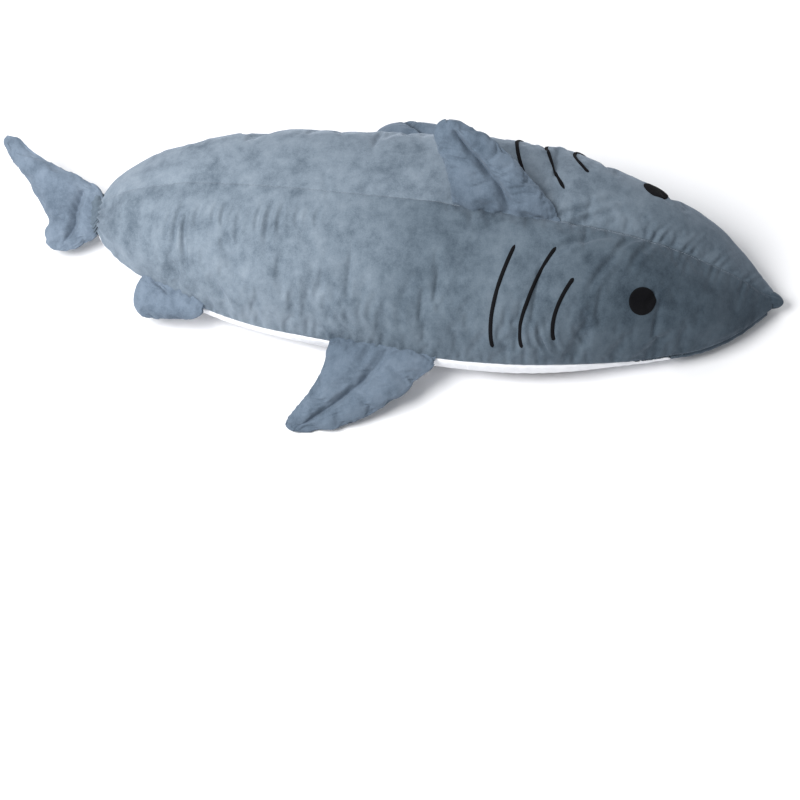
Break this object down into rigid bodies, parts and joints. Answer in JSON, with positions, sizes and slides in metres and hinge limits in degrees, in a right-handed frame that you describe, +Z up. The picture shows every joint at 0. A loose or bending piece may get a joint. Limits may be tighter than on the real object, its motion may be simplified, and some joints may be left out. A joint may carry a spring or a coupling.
{
  "type": "plush shark",
  "caption": "Giant padded plush shark lying on its belly, with soft fins and a toothed mouth that lifts open into a lined sleeping pocket.",
  "frame": {"origin": "on the floor, under the middle of the whole length from tail tip to nose, between the two pectoral fins", "axes": "+X from tail to nose, +Y to the shark's left, +Z up from the floor it lies on"},
  "size_m": [2.03, 1.0446, 0.4494],
  "materials": {
    "grey_plush": "short pile plush",
    "white_plush": "short pile plush",
    "red_lining": "brushed cloth",
    "tooth_felt": "soft plush",
    "black_felt": "felt and satin thread",
    "fibre_filling": "loose polyester fibre"
  },
  "bodies": {
    "torso": {"back_cover_left": "grey_plush", "back_cover_right": "grey_plush", "belly_cover": "white_plush", "back_filling": "fibre_filling", "belly_filling": "fibre_filling", "pocket_lining_upper": "red_lining", "pocket_lining_lower": "red_lining", "gill_left_1": "black_felt", "gill_left_2": "black_felt", "gill_right_1": "black_felt", "gill_right_2": "black_felt", "lower_tooth_1": "tooth_felt", "lower_tooth_2": "tooth_felt", "lower_tooth_3": "tooth_felt", "lower_tooth_4": "tooth_felt", "lower_tooth_5": "tooth_felt", "lower_tooth_6": "tooth_felt", "lower_tooth_7": "tooth_felt", "lower_tooth_8": "tooth_felt", "lower_tooth_9": "tooth_felt", "upper_tooth_1": "tooth_felt", "upper_tooth_2": "tooth_felt", "upper_tooth_12": "tooth_felt", "upper_tooth_13": "tooth_felt"},
    "upper_jaw": {"head_cover_left": "grey_plush", "head_cover_right": "grey_plush", "head_filling": "fibre_filling", "palate_lining": "red_lining", "upper_lip": "white_plush", "snout_underside": "grey_plush", "nose_tip": "grey_plush", "eye_left": "black_felt", "eye_right": "black_felt", "gill_left_3": "black_felt", "gill_right_3": "black_felt", "upper_tooth_3": "tooth_felt", "upper_tooth_4": "tooth_felt", "upper_tooth_5": "tooth_felt", "upper_tooth_6": "tooth_felt", "upper_tooth_7": "tooth_felt", "upper_tooth_8": "tooth_felt", "upper_tooth_9": "tooth_felt", "upper_tooth_10": "tooth_felt", "upper_tooth_11": "tooth_felt"},
    "dorsal_fin": {"dorsal_fin_cover": "grey_plush", "dorsal_fin_filling": "fibre_filling"},
    "pectoral_fin_left": {"pectoral_fin_left_cover": "grey_plush", "pectoral_fin_left_filling": "fibre_filling"},
    "pectoral_fin_right": {"pectoral_fin_right_cover": "grey_plush", "pectoral_fin_right_filling": "fibre_filling"},
    "rear_fin_left": {"rear_fin_left_cover": "grey_plush", "rear_fin_left_filling": "fibre_filling"},
    "rear_fin_right": {"rear_fin_right_cover": "grey_plush", "rear_fin_right_filling": "fibre_filling"},
    "tail_neck": {"tail_neck_cover": "grey_plush", "tail_neck_filling": "fibre_filling"},
    "tail_fin": {"tail_fin_cover": "grey_plush", "tail_fin_filling": "fibre_filling"}
  },
  "joints": [
    {"name": "upper_jaw_lift", "type": "hinge", "parent": "torso", "child": "upper_jaw", "pos_m": [0.465, 0, 0.25], "axis": [0, -1, 0], "range_deg": [0, 35]},
    {"name": "dorsal_fin_lean", "type": "hinge", "parent": "torso", "child": "dorsal_fin", "pos_m": [0.19, 0, 0.2913], "axis": [0.9996, 0, -0.0289], "range_deg": [-15, 100], "stiffness_Nm_per_rad": 2, "springref_deg": 4.58},
    {"name": "pectoral_fin_left_flap", "type": "hinge", "parent": "torso", "child": "pectoral_fin_left", "pos_m": [-0.076, 0.31757, 0.13034], "axis": [0.998, 0.0635, -0.0033], "range_deg": [0, 75]},
    {"name": "pectoral_fin_right_flap", "type": "hinge", "parent": "torso", "child": "pectoral_fin_right", "pos_m": [-0.076, -0.31757, 0.13034], "axis": [-0.998, 0.0635, 0.0033], "range_deg": [0, 75]},
    {"name": "rear_fin_left_flap", "type": "hinge", "parent": "torso", "child": "rear_fin_left", "pos_m": [-0.597, 0.18441, 0.1197], "axis": [0.9227, 0.3826, 0.0476], "range_deg": [0, 70]},
    {"name": "rear_fin_right_flap", "type": "hinge", "parent": "torso", "child": "rear_fin_right", "pos_m": [-0.597, -0.18441, 0.1197], "axis": [-0.9227, 0.3826, -0.0476], "range_deg": [0, 70]},
    {"name": "tail_swing", "type": "hinge", "parent": "torso", "child": "tail_neck", "pos_m": [-0.73, 0, 0.098], "axis": [0, 0, 1], "range_deg": [-30, 30], "stiffness_Nm_per_rad": 1.5},
    {"name": "tail_lift", "type": "hinge", "parent": "tail_neck", "child": "tail_fin", "pos_m": [-0.77, 0, 0.125], "axis": [0, 1, 0], "range_deg": [0, 30]}
  ]
}
